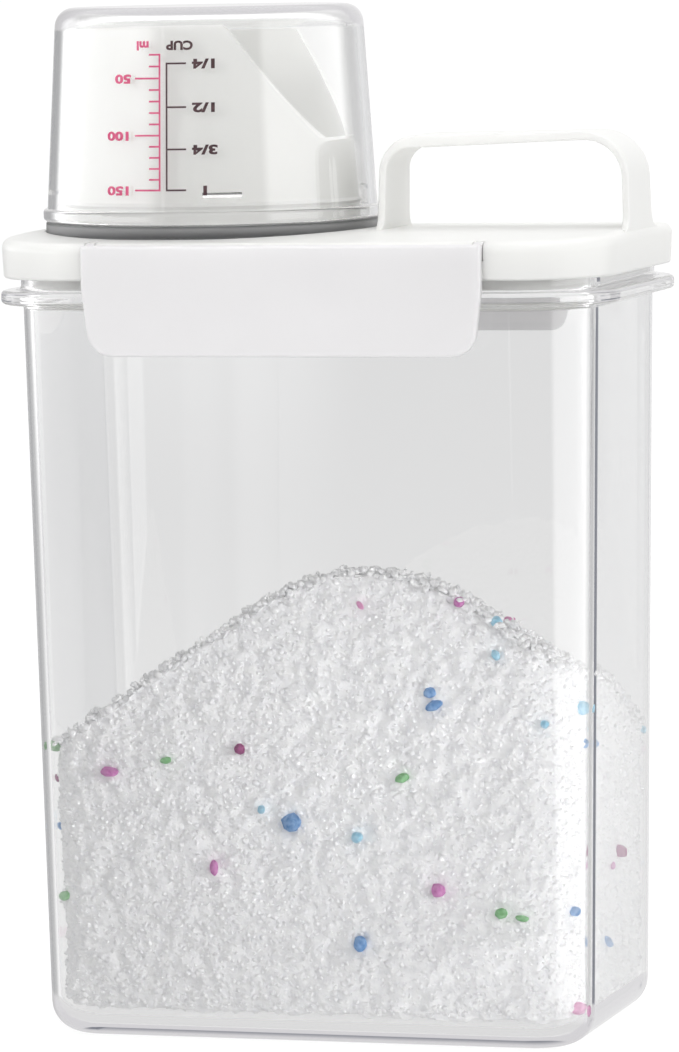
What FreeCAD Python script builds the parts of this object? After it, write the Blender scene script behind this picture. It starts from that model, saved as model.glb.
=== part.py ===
import FreeCAD, Part
import math
import os
import re
import Sketcher

# Laundry detergent dispenser: a clear tank with a pouring lid, two side clips, an arch handle
# and a measuring cup that caps the spout. Millimetres, +Z up, width along X, depth along Y.
# The origin is the centre of the tank's underside.

os.makedirs("parts", exist_ok=True)
doc = FreeCAD.newDocument("detergent_dispenser")
sheet = doc.addObject("Spreadsheet::Sheet", "sizes")

SIZES = {
    # tank: outer sizes at the underside, growing upwards by the draft
    "tank_width": 131.4,
    "tank_depth": 78.2,
    "tank_corner": 13.7,
    "tank_draft": 1.1,
    "body_height": 172.0,
    "foot_round": 7.5,
    "floor_thickness": 3.6,
    "cavity_round": 5.5,
    "neck_wall": 2.4,
    "neck_step": 0.5,
    "neck_rise": 4.7,
    "flange_reach": 5.2,
    "flange_thickness": 3.3,
    "flange_edge": 1.2,
    # lid shell
    "lid_inset": 0.8,
    "lid_draft": 3.0,
    "lid_rise": 8.2,
    "crown_rise": 1.5,
    "lid_edge_round": 2.3,
    "plate_wall": 3.0,
    "skirt_gap": 2.8,
    "skirt_edge_round": 0.8,
    "skirt_wall": 1.8,
    "collar_gap": 0.45,
    "collar_wall": 1.6,
    "collar_drop": 5.4,
    "rib_wall": 1.4,
    "rib_height": 2.6,
    "rib_gap": 4.0,
    "rib_spacing": 20.0,
    # spout, on its own upright axis
    "spout_margin": 2.4,
    "spout_base_radius": 35.3,
    "spout_lean": 3.9,
    "spout_wall": 1.8,
    "spout_height": 49.6,
    "spout_low_height": 22.3,
    "spout_cut_start": 12.1,
    "spout_cut_end": 30.5,
    "spout_root": 2.2,
    "spout_ring_rise": 7.4,
    "spout_ring_reach": 0.7,
    "seat_sink": 1.0,
    "seat_margin": 0.3,
    # arch handle
    "handle_gap": 3.6,
    "handle_inset": 0.2,
    "handle_rise_left": 21.7,
    "handle_rise_right": 22.4,
    "handle_wall": 1.7,
    "handle_bar_left": 3.2,
    "handle_bar_right": 1.8,
    "handle_lean": 0.6,
    "handle_depth": 20.0,
    "handle_root": 2.2,
    "handle_foot_depth": 31.0,
    "handle_flare": 1.0,
    "handle_flare_round": 4.0,
    "handle_flare_sink": 0.25,
    "handle_round_left": 9.0,
    "handle_round_right": 11.0,
    "handle_inner_left": 5.5,
    "handle_inner_right": 9.0,
    "handle_edge_round": 0.5,
    # hinges of the two clips
    "hinge_inset": 2.6,
    "hinge_drop": 3.4,
    "ear_radius": 2.0,
    "ear_width": 2.2,
    "ear_inset": 0.2,
    "ear_play": 0.25,
    "slot_play": 0.3,
    "pin_radius": 0.8,
    "pin_play": 0.08,
    "pin_length": 1.8,
    # clips
    "clip_width": 95.2,
    "clip_cover": 1.6,
    "clip_straight": 10.4,
    "clip_drop": 11.2,
    "clip_taper": 1.9,
    "clip_corner": 6.2,
    "clip_wall": 2.0,
    "clip_gap": 0.3,
    "clip_edge_round": 0.8,
    "hook_inset": 5.6,
    "hook_gap": 0.5,
    "hook_bite": 2.3,
    "hook_height": 3.2,
    "hook_nose": 1.0,
    # gasket, cup seal and measuring cup
    "gasket_rest": 0.3,
    "gasket_height": 1.6,
    "seal_width": 4.1,
    "seal_height": 3.2,
    "seal_play": 0.1,
    "seal_edge_round": 0.6,
    "cup_lift": 0.1,
    "cup_overhang": 0.6,
    "cup_rim_height": 3.0,
    "cup_rim_step": 1.0,
    "cup_rim_round": 0.9,
    "cup_lean": 2.8,
    "cup_headroom": 1.4,
    "cup_wall": 1.8,
    "cup_end_wall": 2.4,
    "cup_end_round": 4.6,
    "cup_inner_round": 3.2,
    "bead_count": 4,
    "bead_turn": 21.0,
    "bead_span": 14.0,
    "bead_rise": 6.8,
    "bead_reach": 0.7,
    "bead_half": 1.1,
    # heap of powder: its crest lies right of the middle and near the front wall
    "heap_right": 16.0,
    "heap_forward": 36.0,
    "heap_height": 107.9,
    "heap_slope": 33.0,
    "heap_round": 46.0,
    "powder_gap": 0.05,
    # how far a cutting outline runs past the face that it cuts
    "cut_margin": 2.0,
}

# What follows from those sizes. Levels are heights above the underside.
MADE = {
    "tank_growth": "2 * sizes.body_height * tan(sizes.tank_draft * 1deg)",
    "neck_width": "sizes.tank_width + made.tank_growth + 2 * sizes.neck_step",
    "neck_depth": "sizes.tank_depth + made.tank_growth + 2 * sizes.neck_step",
    "neck_corner": "sizes.tank_corner + made.tank_growth / 2 + sizes.neck_step",
    "flange_width": "sizes.tank_width + made.tank_growth + 2 * sizes.flange_reach",
    "flange_depth": "sizes.tank_depth + made.tank_growth + 2 * sizes.flange_reach",
    "flange_corner": "sizes.tank_corner + made.tank_growth / 2 + sizes.flange_reach",
    "flange_top": "sizes.body_height + sizes.flange_thickness",
    "neck_top": "made.flange_top + sizes.neck_rise",
    "mouth_width": "made.neck_width - 2 * sizes.neck_wall",
    "mouth_depth": "made.neck_depth - 2 * sizes.neck_wall",
    "mouth_corner": "made.neck_corner - sizes.neck_wall",
    "lid_width": "made.flange_width - 2 * sizes.lid_inset",
    "lid_depth": "made.flange_depth - 2 * sizes.lid_inset",
    "lid_corner": "made.flange_corner - sizes.lid_inset",
    "skirt_bottom": "made.flange_top + sizes.skirt_gap",
    "lid_top": "made.neck_top + sizes.lid_rise",
    "lid_edge_top": "made.lid_top - sizes.crown_rise",
    "crown_radius": "((made.lid_depth / 2) ^ 2 + sizes.crown_rise ^ 2) / (2 * sizes.crown_rise)",
    "seat_ceiling": "made.neck_top + sizes.gasket_height",
    "plate_under": "made.lid_top - sizes.plate_wall",
    "rib_bottom": "made.plate_under - sizes.rib_height",
    "collar_width": "made.mouth_width - 2 * sizes.collar_gap",
    "collar_depth": "made.mouth_depth - 2 * sizes.collar_gap",
    "collar_corner": "made.mouth_corner - sizes.collar_gap",
    "collar_bottom": "made.neck_top - sizes.collar_drop",
    "well_width": "made.collar_width - 2 * sizes.collar_wall",
    "well_depth": "made.collar_depth - 2 * sizes.collar_wall",
    "well_corner": "made.collar_corner - sizes.collar_wall",
    "seal_radius": "sizes.spout_base_radius + sizes.seal_width",
    "cup_rim_radius": "made.seal_radius + sizes.cup_overhang",
    "cup_mouth_radius": "made.cup_rim_radius - sizes.cup_rim_step",
    "cup_end_radius": "made.cup_mouth_radius - sizes.cup_lean",
    "spout_place": "made.cup_rim_radius + sizes.spout_margin - made.lid_width / 2",
    "spout_seat": "made.lid_top - sizes.seat_sink",
    "spout_foot": "made.plate_under - sizes.spout_root",
    "spout_top": "made.spout_seat + sizes.spout_height",
    "spout_low_lip": "made.spout_seat + sizes.spout_low_height",
    "spout_ring_height": "made.spout_seat + sizes.spout_ring_rise",
    "cup_rim": "made.spout_seat + sizes.seal_height + sizes.cup_lift",
    "cup_shoulder": "made.cup_rim + sizes.cup_rim_height",
    "cup_inner_top": "made.spout_top + sizes.cup_headroom",
    "cup_top": "made.cup_inner_top + sizes.cup_end_wall",
    "bead_height": "made.cup_rim + sizes.bead_rise",
    "handle_left": "made.spout_place + made.cup_rim_radius + sizes.handle_gap",
    "handle_right": "made.lid_width / 2 - sizes.handle_inset",
    "handle_foot": "made.lid_top - sizes.handle_root",
    "handle_top_left": "made.lid_top + sizes.handle_rise_left",
    "handle_top_right": "made.lid_top + sizes.handle_rise_right",
    "handle_under_left": "made.handle_top_left - sizes.handle_bar_left",
    "handle_under_right": "made.handle_top_right - sizes.handle_bar_right",
    "hinge_offset": "made.flange_depth / 2 - sizes.hinge_inset",
    "hinge_height": "made.lid_top - sizes.hinge_drop",
    "ear_outer": "sizes.clip_width / 2 - sizes.ear_inset",
    "slot_start": "made.ear_outer - sizes.ear_width - sizes.ear_play",
    "slot_end": "made.ear_outer + sizes.ear_play",
    "socket_end": "made.slot_end + sizes.pin_length",
    "clip_face": "made.flange_depth / 2 + sizes.clip_gap",
    "clip_top": "made.hinge_height + sizes.clip_cover",
    "clip_shoulder": "made.clip_top - sizes.clip_straight",
    "clip_bottom": "sizes.body_height - sizes.clip_drop",
    "hook_top": "sizes.body_height - sizes.hook_gap",
    "cavity_depth": "made.neck_top - sizes.floor_thickness",
    "powder_fall": "made.cavity_depth * tan(sizes.tank_draft * 1deg) + sizes.powder_gap",
    "heap_top": "sizes.floor_thickness + sizes.heap_height",
}

for row, (alias, value) in enumerate(SIZES.items(), start=1):
    sheet.set("A%d" % row, alias)
    sheet.set("B%d" % row, str(value))
    sheet.setAlias("B%d" % row, alias)
doc.recompute()


def spelled_out(expression):
    """The expression with every derived size written out in the sheet's aliases."""
    return re.sub(r"made\.(\w+)", lambda found: "(%s)" % spelled_out(MADE[found.group(1)]), expression)


def size(expression):
    """Value of an expression of sizes."""
    return float(sheet.evalExpression(spelled_out(expression)))


def bind(target, name, expression):
    """Ties a property of an object to an expression of sizes."""
    target.setExpression(name, spelled_out(expression))


def new_body(label):
    body = doc.addObject("PartDesign::Body", label)
    body.Label = label
    return body


def sketch_on(body, name, plane, lift="0"):
    """Sketch on one of the body's own origin planes, moved along its normal by lift."""
    sketch = body.newObject("Sketcher::SketchObject", name)
    support = [item for item in body.Origin.OriginFeatures if item.Role == plane][0]
    sketch.AttachmentSupport = [(support, "")]
    sketch.MapMode = "FlatFace"
    bind(sketch, "AttachmentOffset.Base.z", lift)
    return sketch


def dimension(sketch, kind, places, expression):
    """Driving dimension of a sketch, tied to an expression."""
    index = sketch.addConstraint(Sketcher.Constraint(kind, *places, size(expression)))
    bind(sketch, "Constraints[%d]" % index, expression)


def rounded_rectangle(sketch, width, depth, corner):
    """Closed rectangle about the sketch's origin with four equal rounded corners."""
    half_width = size(width) / 2
    half_depth = size(depth) / 2
    radius = size(corner)
    centres = [
        (half_width - radius, radius - half_depth, -90),
        (half_width - radius, half_depth - radius, 0),
        (radius - half_width, half_depth - radius, 90),
        (radius - half_width, radius - half_depth, 180),
    ]
    arcs = []
    for x, y, start in centres:
        circle = Part.Circle(FreeCAD.Vector(x, y, 0), FreeCAD.Vector(0, 0, 1), radius)
        arc = Part.ArcOfCircle(circle, math.radians(start), math.radians(start + 90))
        arcs.append(sketch.addGeometry(arc))
    sides = []
    for index, arc in enumerate(arcs):
        following = arcs[(index + 1) % 4]
        start = sketch.getPoint(arc, 2)
        end = sketch.getPoint(following, 1)
        side = sketch.addGeometry(Part.LineSegment(start, end))
        sketch.addConstraint(Sketcher.Constraint("Tangent", arc, 2, side, 1))
        sketch.addConstraint(Sketcher.Constraint("Tangent", side, 2, following, 1))
        sides.append(side)
    sketch.addConstraint(Sketcher.Constraint("Vertical", sides[0]))
    sketch.addConstraint(Sketcher.Constraint("Horizontal", sides[1]))
    for arc in arcs[1:]:
        sketch.addConstraint(Sketcher.Constraint("Equal", arcs[0], arc))
    sketch.addConstraint(Sketcher.Constraint("Symmetric", arcs[0], 3, arcs[2], 3, -1, 1))
    dimension(sketch, "Radius", [arcs[0]], corner)
    dimension(sketch, "DistanceX", [arcs[3], 3, arcs[0], 3], "%s - 2 * (%s)" % (width, corner))
    dimension(sketch, "DistanceY", [arcs[0], 3, arcs[1], 3], "%s - 2 * (%s)" % (depth, corner))


def polygon(sketch, corners):
    """Closed outline of straight sides through corners given as pairs of expressions."""
    points = [FreeCAD.Vector(size(x), size(y), 0) for x, y in corners]
    sides = []
    for index, point in enumerate(points):
        following = points[(index + 1) % len(points)]
        sides.append(sketch.addGeometry(Part.LineSegment(point, following)))
    for index, side in enumerate(sides):
        following = sides[(index + 1) % len(sides)]
        sketch.addConstraint(Sketcher.Constraint("Coincident", side, 2, following, 1))
    for side, (x, y) in zip(sides, corners):
        dimension(sketch, "DistanceX", [-1, 1, side, 1], x)
        dimension(sketch, "DistanceY", [-1, 1, side, 1], y)
    return sides


def circle_at(sketch, x, y, radius):
    """Circle with its centre at two expressions."""
    centre = FreeCAD.Vector(size(x), size(y), 0)
    circle = sketch.addGeometry(Part.Circle(centre, FreeCAD.Vector(0, 0, 1), size(radius)))
    dimension(sketch, "Radius", [circle], radius)
    dimension(sketch, "DistanceX", [-1, 1, circle, 3], x)
    dimension(sketch, "DistanceY", [-1, 1, circle, 3], y)


def extrude(body, kind, name, sketch, length, taper="0", symmetric=False, backwards=False):
    """Pad or Pocket of a sketch; fails loudly if it changes nothing."""
    before = body.Tip.Shape.Volume if body.Tip else 0.0
    feature = body.newObject("PartDesign::" + kind, name)
    feature.Profile = sketch
    feature.SideType = "Symmetric" if symmetric else "One side"
    feature.Reversed = backwards
    bind(feature, "Length", length)
    bind(feature, "TaperAngle", taper)
    doc.recompute()
    change = feature.Shape.Volume - before
    wanted = 1 if kind == "Pad" else -1
    if change * wanted <= 0:
        raise RuntimeError("%s changes the solid by %.3f" % (name, change))
    return feature


def revolve(body, kind, name, sketch):
    """Full turn of a sketch about its own vertical axis."""
    feature = body.newObject("PartDesign::" + kind, name)
    feature.Profile = sketch
    feature.ReferenceAxis = (sketch, ["V_Axis"])
    feature.Angle = 360
    doc.recompute()
    return feature


def fillet(body, name, feature, radius, chosen):
    """Rounds the edges of a feature for which chosen(edge) is true."""
    edges = []
    for index, edge in enumerate(feature.Shape.Edges, start=1):
        if chosen(edge):
            edges.append("Edge%d" % index)
    if not edges:
        raise RuntimeError(name + " finds no edge")
    rounding = body.newObject("PartDesign::Fillet", name)
    rounding.Base = (feature, edges)
    bind(rounding, "Radius", radius)
    doc.recompute()
    return rounding


def level(height, tolerance=0.01):
    """Picks edges that lie flat at one height."""
    def chosen(edge):
        box = edge.BoundBox
        return abs(box.ZMin - height) < tolerance and abs(box.ZMax - height) < tolerance
    return chosen


def outside(pick, width, depth):
    """Picks from a choice only the edges that touch the outside of a width by depth box."""
    def chosen(edge):
        centre = edge.BoundBox.Center
        reach = max(abs(centre.x) / (width / 2), abs(centre.y) / (depth / 2))
        return pick(edge) and reach > 0.8
    return chosen


# --- tank: one clear moulding with a drafted wall, a clip flange and a neck ---

def make_tank():
    body = new_body("tank")
    foot = sketch_on(body, "tank_foot", "XY_Plane")
    rounded_rectangle(foot, "sizes.tank_width", "sizes.tank_depth", "sizes.tank_corner")
    wall = extrude(body, "Pad", "tank_wall", foot, "sizes.body_height", "sizes.tank_draft")
    rounded = fillet(body, "tank_foot_round", wall, "sizes.foot_round", level(0))
    neck = sketch_on(body, "neck_outline", "XY_Plane", "sizes.body_height")
    rounded_rectangle(neck, "made.neck_width", "made.neck_depth", "made.neck_corner")
    extrude(body, "Pad", "neck", neck, "made.neck_top - sizes.body_height")
    rim = sketch_on(body, "flange_outline", "XY_Plane", "sizes.body_height")
    rounded_rectangle(rim, "made.flange_width", "made.flange_depth", "made.flange_corner")
    flange = extrude(body, "Pad", "flange", rim, "sizes.flange_thickness")
    width = size("made.flange_width")
    depth = size("made.flange_depth")
    flange_faces = [("flange_lower_round", "sizes.body_height"), ("flange_upper_round", "made.flange_top")]
    for name, height in flange_faces:
        rim_edge = outside(level(size(height)), width, depth)
        flange = fillet(body, name, flange, "sizes.flange_edge", rim_edge)
    mouth = sketch_on(body, "mouth_outline", "XY_Plane", "made.neck_top")
    rounded_rectangle(mouth, "made.mouth_width", "made.mouth_depth", "made.mouth_corner")
    cavity = extrude(body, "Pocket", "cavity", mouth, "made.cavity_depth", "-sizes.tank_draft")
    floor = size("sizes.floor_thickness")
    fillet(body, "cavity_floor_round", cavity, "sizes.cavity_round", level(floor))
    return body


# --- lid: a crowned plate with a skirt, a plug collar, hinge sockets, a spout and a handle ---

def spout_radius(height):
    """Outer radius of the tapered spout at a height."""
    taper = "sizes.spout_lean / sizes.spout_height"
    return "(sizes.spout_base_radius - (%s - made.spout_seat) * %s)" % (height, taper)


def crown_outline(sketch):
    """Region above the lid's crowned top, seen along the lid's length."""
    reach = "(made.lid_depth / 2 + 2 * sizes.cut_margin)"
    ceiling = "(made.lid_top + sizes.cut_margin)"
    radius = size("made.crown_radius")
    centre = FreeCAD.Vector(0, size("made.lid_top") - radius, 0)
    half_angle = math.asin(size(reach) / radius)
    circle = Part.Circle(centre, FreeCAD.Vector(0, 0, 1), radius)
    arc = sketch.addGeometry(Part.ArcOfCircle(circle, math.pi / 2 - half_angle, math.pi / 2 + half_angle))
    right = sketch.getPoint(arc, 1)
    left = sketch.getPoint(arc, 2)
    top_left = FreeCAD.Vector(left.x, size(ceiling), 0)
    top_right = FreeCAD.Vector(right.x, size(ceiling), 0)
    corners = [left, top_left, top_right, right]
    lines = [sketch.addGeometry(Part.LineSegment(a, b)) for a, b in zip(corners, corners[1:])]
    sketch.addConstraint(Sketcher.Constraint("Coincident", arc, 2, lines[0], 1))
    sketch.addConstraint(Sketcher.Constraint("Coincident", lines[0], 2, lines[1], 1))
    sketch.addConstraint(Sketcher.Constraint("Coincident", lines[1], 2, lines[2], 1))
    sketch.addConstraint(Sketcher.Constraint("Coincident", lines[2], 2, arc, 1))
    sketch.addConstraint(Sketcher.Constraint("Vertical", lines[0]))
    sketch.addConstraint(Sketcher.Constraint("Horizontal", lines[1]))
    sketch.addConstraint(Sketcher.Constraint("Vertical", lines[2]))
    sketch.addConstraint(Sketcher.Constraint("PointOnObject", arc, 3, -2))
    dimension(sketch, "Radius", [arc], "made.crown_radius")
    dimension(sketch, "DistanceY", [-1, 1, arc, 3], "made.lid_top - made.crown_radius")
    dimension(sketch, "DistanceX", [-1, 1, arc, 1], reach)
    dimension(sketch, "DistanceX", [-1, 1, arc, 2], "-%s" % reach)
    dimension(sketch, "DistanceY", [-1, 1, lines[0], 2], ceiling)


def slot_outline(sketch, side):
    """Open-fronted slot round a clip's ear, seen along the hinge; side is -1 front, 1 back."""
    radius = "(sizes.ear_radius + sizes.slot_play)"
    hinge = "(%d * made.hinge_offset)" % side
    inner = "(%d * (made.hinge_offset - %s))" % (side, radius)
    outer = "(%d * (made.lid_depth / 2 + sizes.cut_margin))" % side
    low = "(made.hinge_height - %s)" % radius
    high = "(made.lid_top + sizes.cut_margin)"
    centre = FreeCAD.Vector(size(hinge), size("made.hinge_height"), 0)
    circle = Part.Circle(centre, FreeCAD.Vector(0, 0, 1), size(radius))
    first_angle = -math.pi / 2 if side < 0 else math.pi
    arc = sketch.addGeometry(Part.ArcOfCircle(circle, first_angle, first_angle + math.pi / 2))
    bottom_end, inner_end = (1, 2) if side < 0 else (2, 1)
    places = [(hinge, low), (outer, low), (outer, high), (inner, high), (inner, "made.hinge_height")]
    points = [FreeCAD.Vector(size(x), size(y), 0) for x, y in places]
    lines = [sketch.addGeometry(Part.LineSegment(a, b)) for a, b in zip(points, points[1:])]
    for first, second in zip(lines, lines[1:]):
        sketch.addConstraint(Sketcher.Constraint("Coincident", first, 2, second, 1))
    sketch.addConstraint(Sketcher.Constraint("Tangent", arc, bottom_end, lines[0], 1))
    sketch.addConstraint(Sketcher.Constraint("Tangent", lines[3], 2, arc, inner_end))
    sketch.addConstraint(Sketcher.Constraint("Horizontal", lines[0]))
    sketch.addConstraint(Sketcher.Constraint("Vertical", lines[1]))
    sketch.addConstraint(Sketcher.Constraint("Horizontal", lines[2]))
    sketch.addConstraint(Sketcher.Constraint("Vertical", lines[3]))
    dimension(sketch, "Radius", [arc], radius)
    dimension(sketch, "DistanceX", [-1, 1, arc, 3], hinge)
    dimension(sketch, "DistanceY", [-1, 1, arc, 3], "made.hinge_height")
    dimension(sketch, "DistanceX", [-1, 1, lines[1], 1], outer)
    dimension(sketch, "DistanceY", [-1, 1, lines[2], 1], high)


def cut_hinge_seats(body):
    """Slot for each clip's ear and, beyond it, the socket for the ear's pin."""
    for side, side_name in ((-1, "front"), (1, "back")):
        for end, end_name in ((-1, "left"), (1, "right")):
            name = "%s_%s" % (side_name, end_name)
            slot_from = "made.slot_start" if end > 0 else "-made.slot_end"
            slot = sketch_on(body, name + "_slot_outline", "YZ_Plane", slot_from)
            slot_outline(slot, side)
            wide = "made.slot_end - made.slot_start"
            extrude(body, "Pocket", name + "_slot", slot, wide, backwards=True)
            socket_from = "made.slot_end" if end > 0 else "-made.socket_end"
            socket = sketch_on(body, name + "_socket_outline", "YZ_Plane", socket_from)
            circle_at(socket, "%d * made.hinge_offset" % side, "made.hinge_height",
                      "sizes.pin_radius + sizes.pin_play")
            deep = "made.socket_end - made.slot_end"
            extrude(body, "Pocket", name + "_socket", socket, deep, backwards=True)


def make_lid_shell():
    body = new_body("lid_shell")
    outline = sketch_on(body, "lid_outline", "XY_Plane", "made.skirt_bottom")
    rounded_rectangle(outline, "made.lid_width", "made.lid_depth", "made.lid_corner")
    block = "made.lid_top + sizes.cut_margin / 2 - made.skirt_bottom"
    extrude(body, "Pad", "lid_block", outline, block, "sizes.lid_draft")
    crown = sketch_on(body, "crown_outline", "YZ_Plane")
    crown_outline(crown)
    crowned = extrude(body, "Pocket", "crown", crown, "2 * made.lid_width", symmetric=True)
    lowest_edge = size("made.lid_edge_top - sizes.cut_margin / 4")
    top_round = fillet(body, "lid_edge_round", crowned, "sizes.lid_edge_round",
                       lambda edge: edge.BoundBox.ZMin > lowest_edge)
    bottom = size("made.skirt_bottom")
    fillet(body, "skirt_edge_round", top_round, "sizes.skirt_edge_round", level(bottom))
    skirt = sketch_on(body, "skirt_cavity_outline", "XY_Plane", "made.skirt_bottom")
    inner_width = "made.lid_width - 2 * sizes.skirt_wall"
    inner_depth = "made.lid_depth - 2 * sizes.skirt_wall"
    rounded_rectangle(skirt, inner_width, inner_depth, "made.lid_corner - sizes.skirt_wall")
    extrude(body, "Pocket", "skirt_cavity", skirt, "made.seat_ceiling - made.skirt_bottom", backwards=True)
    well = sketch_on(body, "well_outline", "XY_Plane", "made.seat_ceiling")
    rounded_rectangle(well, "made.well_width", "made.well_depth", "made.well_corner")
    extrude(body, "Pocket", "well", well, "made.plate_under - made.seat_ceiling", backwards=True)
    collar = sketch_on(body, "collar_outline", "XY_Plane", "made.collar_bottom")
    rounded_rectangle(collar, "made.collar_width", "made.collar_depth", "made.collar_corner")
    rounded_rectangle(collar, "made.well_width", "made.well_depth", "made.well_corner")
    extrude(body, "Pad", "collar", collar, "made.seat_ceiling - made.collar_bottom")
    first_rib = "made.spout_place + sizes.spout_base_radius + sizes.rib_gap"
    for number in range(3):
        rib = sketch_on(body, "rib_outline_%d" % number, "XY_Plane", "made.rib_bottom")
        middle = "(%s + %d * sizes.rib_spacing)" % (first_rib, number)
        left = "%s - sizes.rib_wall / 2" % middle
        right = "%s + sizes.rib_wall / 2" % middle
        reach = "(made.well_depth / 2 + sizes.collar_wall / 2)"
        polygon(rib, [(left, "-" + reach), (right, "-" + reach), (right, reach), (left, reach)])
        extrude(body, "Pad", "rib_%d" % number, rib, "made.plate_under - made.rib_bottom")
    seat = sketch_on(body, "seal_seat_outline", "XY_Plane", "made.spout_seat")
    circle_at(seat, "made.spout_place", "0", "made.seal_radius + sizes.seat_margin")
    extrude(body, "Pocket", "seal_seat", seat, "sizes.cut_margin", backwards=True)
    throat = sketch_on(body, "throat_outline", "XY_Plane", "made.rib_bottom")
    circle_at(throat, "made.spout_place", "0", "sizes.spout_base_radius - sizes.spout_wall / 2")
    throat_length = "made.lid_top - made.rib_bottom + sizes.cut_margin"
    extrude(body, "Pocket", "throat", throat, throat_length, backwards=True)
    cut_hinge_seats(body)
    return body


def make_spout():
    body = new_body("spout_tube")
    bind(body, "Placement.Base.x", "made.spout_place")
    profile = sketch_on(body, "spout_profile", "XZ_Plane")
    ring_low = "(made.spout_ring_height - sizes.spout_ring_reach)"
    ring_high = "(made.spout_ring_height + sizes.spout_ring_reach)"
    polygon(profile, [
        (spout_radius("made.spout_foot"), "made.spout_foot"),
        (spout_radius(ring_low), ring_low),
        (spout_radius("made.spout_ring_height") + " + sizes.spout_ring_reach", "made.spout_ring_height"),
        (spout_radius(ring_high), ring_high),
        (spout_radius("made.spout_top"), "made.spout_top"),
        (spout_radius("made.spout_top") + " - sizes.spout_wall", "made.spout_top"),
        (spout_radius("made.spout_foot") + " - sizes.spout_wall", "made.spout_foot"),
    ])
    revolve(body, "Revolution", "spout_wall_turned", profile)
    mouth = sketch_on(body, "mouth_cut_outline", "XZ_Plane")
    above = "made.spout_top + sizes.cut_margin"
    beyond = "sizes.spout_base_radius + sizes.cut_margin"
    run = "(sizes.spout_cut_end - sizes.spout_cut_start)"
    slope = "(%s / (sizes.spout_height - sizes.spout_low_height))" % run
    polygon(mouth, [
        ("sizes.spout_cut_start - sizes.cut_margin * %s" % slope, above),
        ("sizes.spout_cut_end", "made.spout_low_lip"),
        (beyond, "made.spout_low_lip"),
        (beyond, above),
    ])
    extrude(body, "Pocket", "slanted_mouth", mouth, "3 * sizes.spout_base_radius", symmetric=True)
    return body


def flare_outline(sketch, side):
    """Region beside the handle's ribbon, whose foot curves outwards onto the lid."""
    top = "(made.handle_top_right + sizes.cut_margin)"
    sink = "(made.lid_top - sizes.handle_flare_sink)"
    narrow = "(%d * sizes.handle_depth / 2)" % side
    wide = "(%d * (sizes.handle_depth / 2 + sizes.handle_flare))" % side
    beyond = "(%d * (sizes.handle_foot_depth / 2 + sizes.cut_margin))" % side
    radius = size("sizes.handle_flare_round")
    centre = FreeCAD.Vector(size(wide) + side * radius, size(sink) + radius, 0)
    circle = Part.Circle(centre, FreeCAD.Vector(0, 0, 1), radius)
    first_angle = math.pi if side > 0 else -math.pi / 2
    arc = sketch.addGeometry(Part.ArcOfCircle(circle, first_angle, first_angle + math.pi / 2))
    upper_end, lower_end = (1, 2) if side > 0 else (2, 1)
    edge = sketch.addGeometry(Part.LineSegment(FreeCAD.Vector(size(narrow), size(top), 0),
                                               sketch.getPoint(arc, upper_end)))
    corner_low = FreeCAD.Vector(size(beyond), size(sink), 0)
    corner_high = FreeCAD.Vector(size(beyond), size(top), 0)
    floor = sketch.addGeometry(Part.LineSegment(sketch.getPoint(arc, lower_end), corner_low))
    back = sketch.addGeometry(Part.LineSegment(corner_low, corner_high))
    ceiling = sketch.addGeometry(Part.LineSegment(corner_high, sketch.getPoint(edge, 1)))
    sketch.addConstraint(Sketcher.Constraint("Tangent", edge, 2, arc, upper_end))
    sketch.addConstraint(Sketcher.Constraint("Tangent", arc, lower_end, floor, 1))
    sketch.addConstraint(Sketcher.Constraint("Coincident", floor, 2, back, 1))
    sketch.addConstraint(Sketcher.Constraint("Coincident", back, 2, ceiling, 1))
    sketch.addConstraint(Sketcher.Constraint("Coincident", ceiling, 2, edge, 1))
    sketch.addConstraint(Sketcher.Constraint("Horizontal", floor))
    sketch.addConstraint(Sketcher.Constraint("Vertical", back))
    sketch.addConstraint(Sketcher.Constraint("Horizontal", ceiling))
    dimension(sketch, "Radius", [arc], "sizes.handle_flare_round")
    dimension(sketch, "DistanceX", [-1, 1, edge, 1], narrow)
    dimension(sketch, "DistanceY", [-1, 1, edge, 1], top)
    dimension(sketch, "DistanceX", [-1, 1, edge, 2], wide)
    dimension(sketch, "DistanceY", [-1, 1, floor, 2], sink)
    dimension(sketch, "DistanceX", [-1, 1, floor, 2], beyond)


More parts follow.
